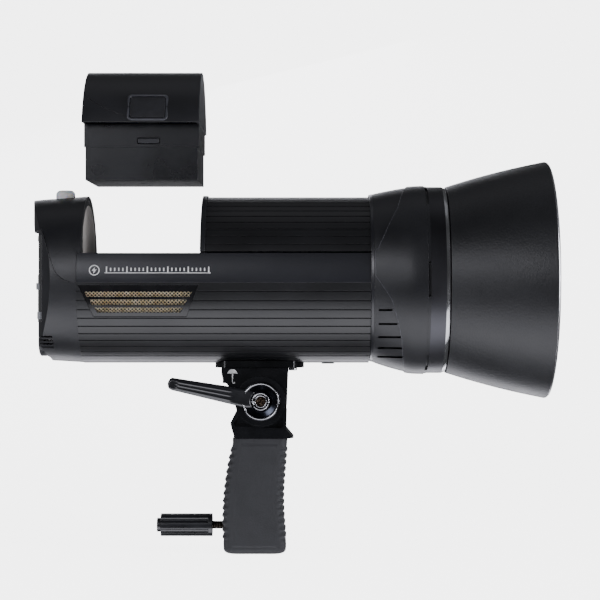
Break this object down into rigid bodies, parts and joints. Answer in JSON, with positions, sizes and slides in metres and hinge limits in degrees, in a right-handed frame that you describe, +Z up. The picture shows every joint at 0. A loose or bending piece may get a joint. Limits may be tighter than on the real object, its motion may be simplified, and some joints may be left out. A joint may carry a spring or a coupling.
{
  "type": "monolight strobe",
  "caption": "Battery monolight strobe: ribbed round head with round reflector, lift-out battery above its bay, rear controls, and a tilting grip with lever and stand socket.",
  "frame": {"origin": "centre of the stand socket's mouth, at the base of the grip", "axes": "+X forward to the reflector along the tube axis, +Z up, -Y the side with the tilt lever; the stand leaves along -Z"},
  "size_m": [0.391, 0.1806, 0.3666],
  "materials": {
    "housing_black": "satin moulded ABS, fine grain",
    "housing_clear_black": "smoked acrylic window",
    "tube_paint": "black painted aluminium, satin",
    "powder_black": "fine black powder coat, pearl silver inside",
    "mount_metal": "dark satin metal",
    "bare_steel": "brushed",
    "bright_chrome": "polished",
    "aluminium_satin": "satin",
    "brass_insert": "turned",
    "rubber_charcoal": "matte, ridged",
    "key_grey": "satin grey",
    "frosted_white": "frosted translucent",
    "clear_glass": "clear, slightly frosted",
    "xenon_glass": "quartz tube",
    "lamp_white": "white ceramic",
    "board_green": "circuit board",
    "capacitor_sleeve": "shrink sleeve",
    "cell_sleeve": "shrink sleeve",
    "mesh_metal": "woven wire"
  },
  "bodies": {
    "grip": {"grip_head": "housing_black", "grip_rubber": "rubber_charcoal", "socket_sleeve": "aluminium_satin", "thread_insert": "brass_insert"},
    "shoe": {"clamp_shoe": "bare_steel"},
    "knob": {"clamp_stud": "bare_steel", "stand_knob": "housing_black"},
    "head": {"lower_shell": "tube_paint", "upper_shell": "tube_paint", "side_bands": "tube_paint", "battery_tub": "housing_black", "bay_rear_wall": "housing_black", "bay_plate": "aluminium_satin", "bulkhead": "housing_black", "vent_frames": "housing_black", "vent_mesh": "mesh_metal", "rear_hood": "housing_black", "rear_cover": "housing_black", "control_panel": "housing_black", "display_window": "housing_clear_black", "main_board": "board_green", "sync_socket": "bare_steel", "data_socket": "bare_steel", "sensor_dome": "frosted_white", "front_collar": "housing_black", "mount_ring": "mount_metal", "lamp_base": "lamp_white", "flash_tube": "xenon_glass", "modelling_lamp": "lamp_white", "glass_dome": "clear_glass", "fan_frame": "housing_black", "flash_capacitors": "capacitor_sleeve", "power_board": "board_green", "foot_pad": "rubber_charcoal", "mount_plate": "tube_paint", "plate_screws": "bare_steel", "tilt_bracket": "housing_black", "tilt_bolt": "bare_steel", "friction_washers": "housing_black"},
    "lever": {"lever_handle": "housing_black", "lever_ring": "bright_chrome", "lever_cap": "tube_paint", "lever_screw": "bare_steel"},
    "reflector": {"reflector_bowl": "powder_black", "reflector_mount": "mount_metal"},
    "release": {"mount_release": "housing_black"},
    "fan": {"fan_rotor": "housing_black"},
    "dial": {"control_dial": "housing_black"},
    "umbrella_screw": {"umbrella_knob": "housing_black"},
    "battery": {"battery_case": "housing_black", "battery_shell": "housing_black", "battery_cells": "cell_sleeve"},
    "latch_left": {"release_button_left": "housing_black"},
    "latch_right": {"release_button_right": "housing_black"},
    "menu_key": {"menu_button": "key_grey"},
    "mode_key": {"mode_button": "key_grey"},
    "sync_key": {"sync_button": "key_grey"},
    "test_key": {"test_button": "key_grey"},
    "power_key": {"power_button": "key_grey"},
    "lamp_key": {"lamp_button": "key_grey"}
  },
  "joints": [
    {"name": "head_tilt", "type": "hinge", "parent": "grip", "child": "head", "pos_m": [0.0051, 0, 0.117], "axis": [0, 1, 0], "range_deg": [-55, 68]},
    {"name": "lever_turn", "type": "hinge", "parent": "head", "child": "lever", "pos_m": [0.0051, 0, 0.117], "axis": [0, 1, 0], "range_deg": [-120, 12]},
    {"name": "battery_lift", "type": "slide", "parent": "head", "child": "battery", "axis": [0, 0, 1], "range_m": [-0.095, 0]},
    {"name": "latch_left_press", "type": "slide", "parent": "battery", "child": "latch_left", "axis": [0, 1, 0], "range_m": [0, 0.0025], "stiffness_N_per_m": 900, "springref_m": -0.002},
    {"name": "latch_right_press", "type": "slide", "parent": "battery", "child": "latch_right", "axis": [0, -1, 0], "range_m": [0, 0.0025], "stiffness_N_per_m": 900, "springref_m": -0.002},
    {"name": "shoe_slide", "type": "slide", "parent": "grip", "child": "shoe", "axis": [1, 0, 0], "range_m": [0, 0.0026]},
    {"name": "knob_turn", "type": "hinge", "parent": "shoe", "child": "knob", "pos_m": [-0.0522, 0, 0.0209], "axis": [1, 0, 0], "range_deg": [0, 900]},
    {"name": "reflector_twist", "type": "hinge", "parent": "head", "child": "reflector", "pos_m": [0.145, 0, 0.2083], "axis": [1, 0, 0], "range_deg": [0, 20]},
    {"name": "release_slide", "type": "slide", "parent": "head", "child": "release", "axis": [-1, 0, 0], "range_m": [0, 0.004], "stiffness_N_per_m": 600, "springref_m": -0.002},
    {"name": "dial_turn", "type": "hinge", "parent": "head", "child": "dial", "pos_m": [-0.16, 0, 0.1623], "axis": [1, 0, 0], "continuous": true},
    {"name": "fan_spin", "type": "hinge", "parent": "head", "child": "fan", "pos_m": [0.098, 0, 0.2083], "axis": [1, 0, 0], "continuous": true},
    {"name": "umbrella_turn", "type": "hinge", "parent": "head", "child": "umbrella_screw", "pos_m": [-0.014, 0.03, 0.1354], "axis": [0, -1, 0], "range_deg": [0, 720]},
    {"name": "menu_press", "type": "slide", "parent": "head", "child": "menu_key", "axis": [1, 0, 0], "range_m": [0, 0.0008], "stiffness_N_per_m": 1500, "springref_m": -0.0008},
    {"name": "mode_press", "type": "slide", "parent": "head", "child": "mode_key", "axis": [1, 0, 0], "range_m": [0, 0.0008], "stiffness_N_per_m": 1500, "springref_m": -0.0008},
    {"name": "sync_press", "type": "slide", "parent": "head", "child": "sync_key", "axis": [1, 0, 0], "range_m": [0, 0.0008], "stiffness_N_per_m": 1500, "springref_m": -0.0008},
    {"name": "test_press", "type": "slide", "parent": "head", "child": "test_key", "axis": [1, 0, 0], "range_m": [0, 0.0008], "stiffness_N_per_m": 1500, "springref_m": -0.0008},
    {"name": "power_press", "type": "slide", "parent": "head", "child": "power_key", "axis": [1, 0, 0], "range_m": [0, 0.0008], "stiffness_N_per_m": 1500, "springref_m": -0.0008},
    {"name": "lamp_press", "type": "slide", "parent": "head", "child": "lamp_key", "axis": [1, 0, 0], "range_m": [0, 0.0008], "stiffness_N_per_m": 1500, "springref_m": -0.0008}
  ],
  "couplings": [
    {"joint": "shoe_slide", "follows": "knob_turn", "m_per_rad": 0.00015915}
  ]
}
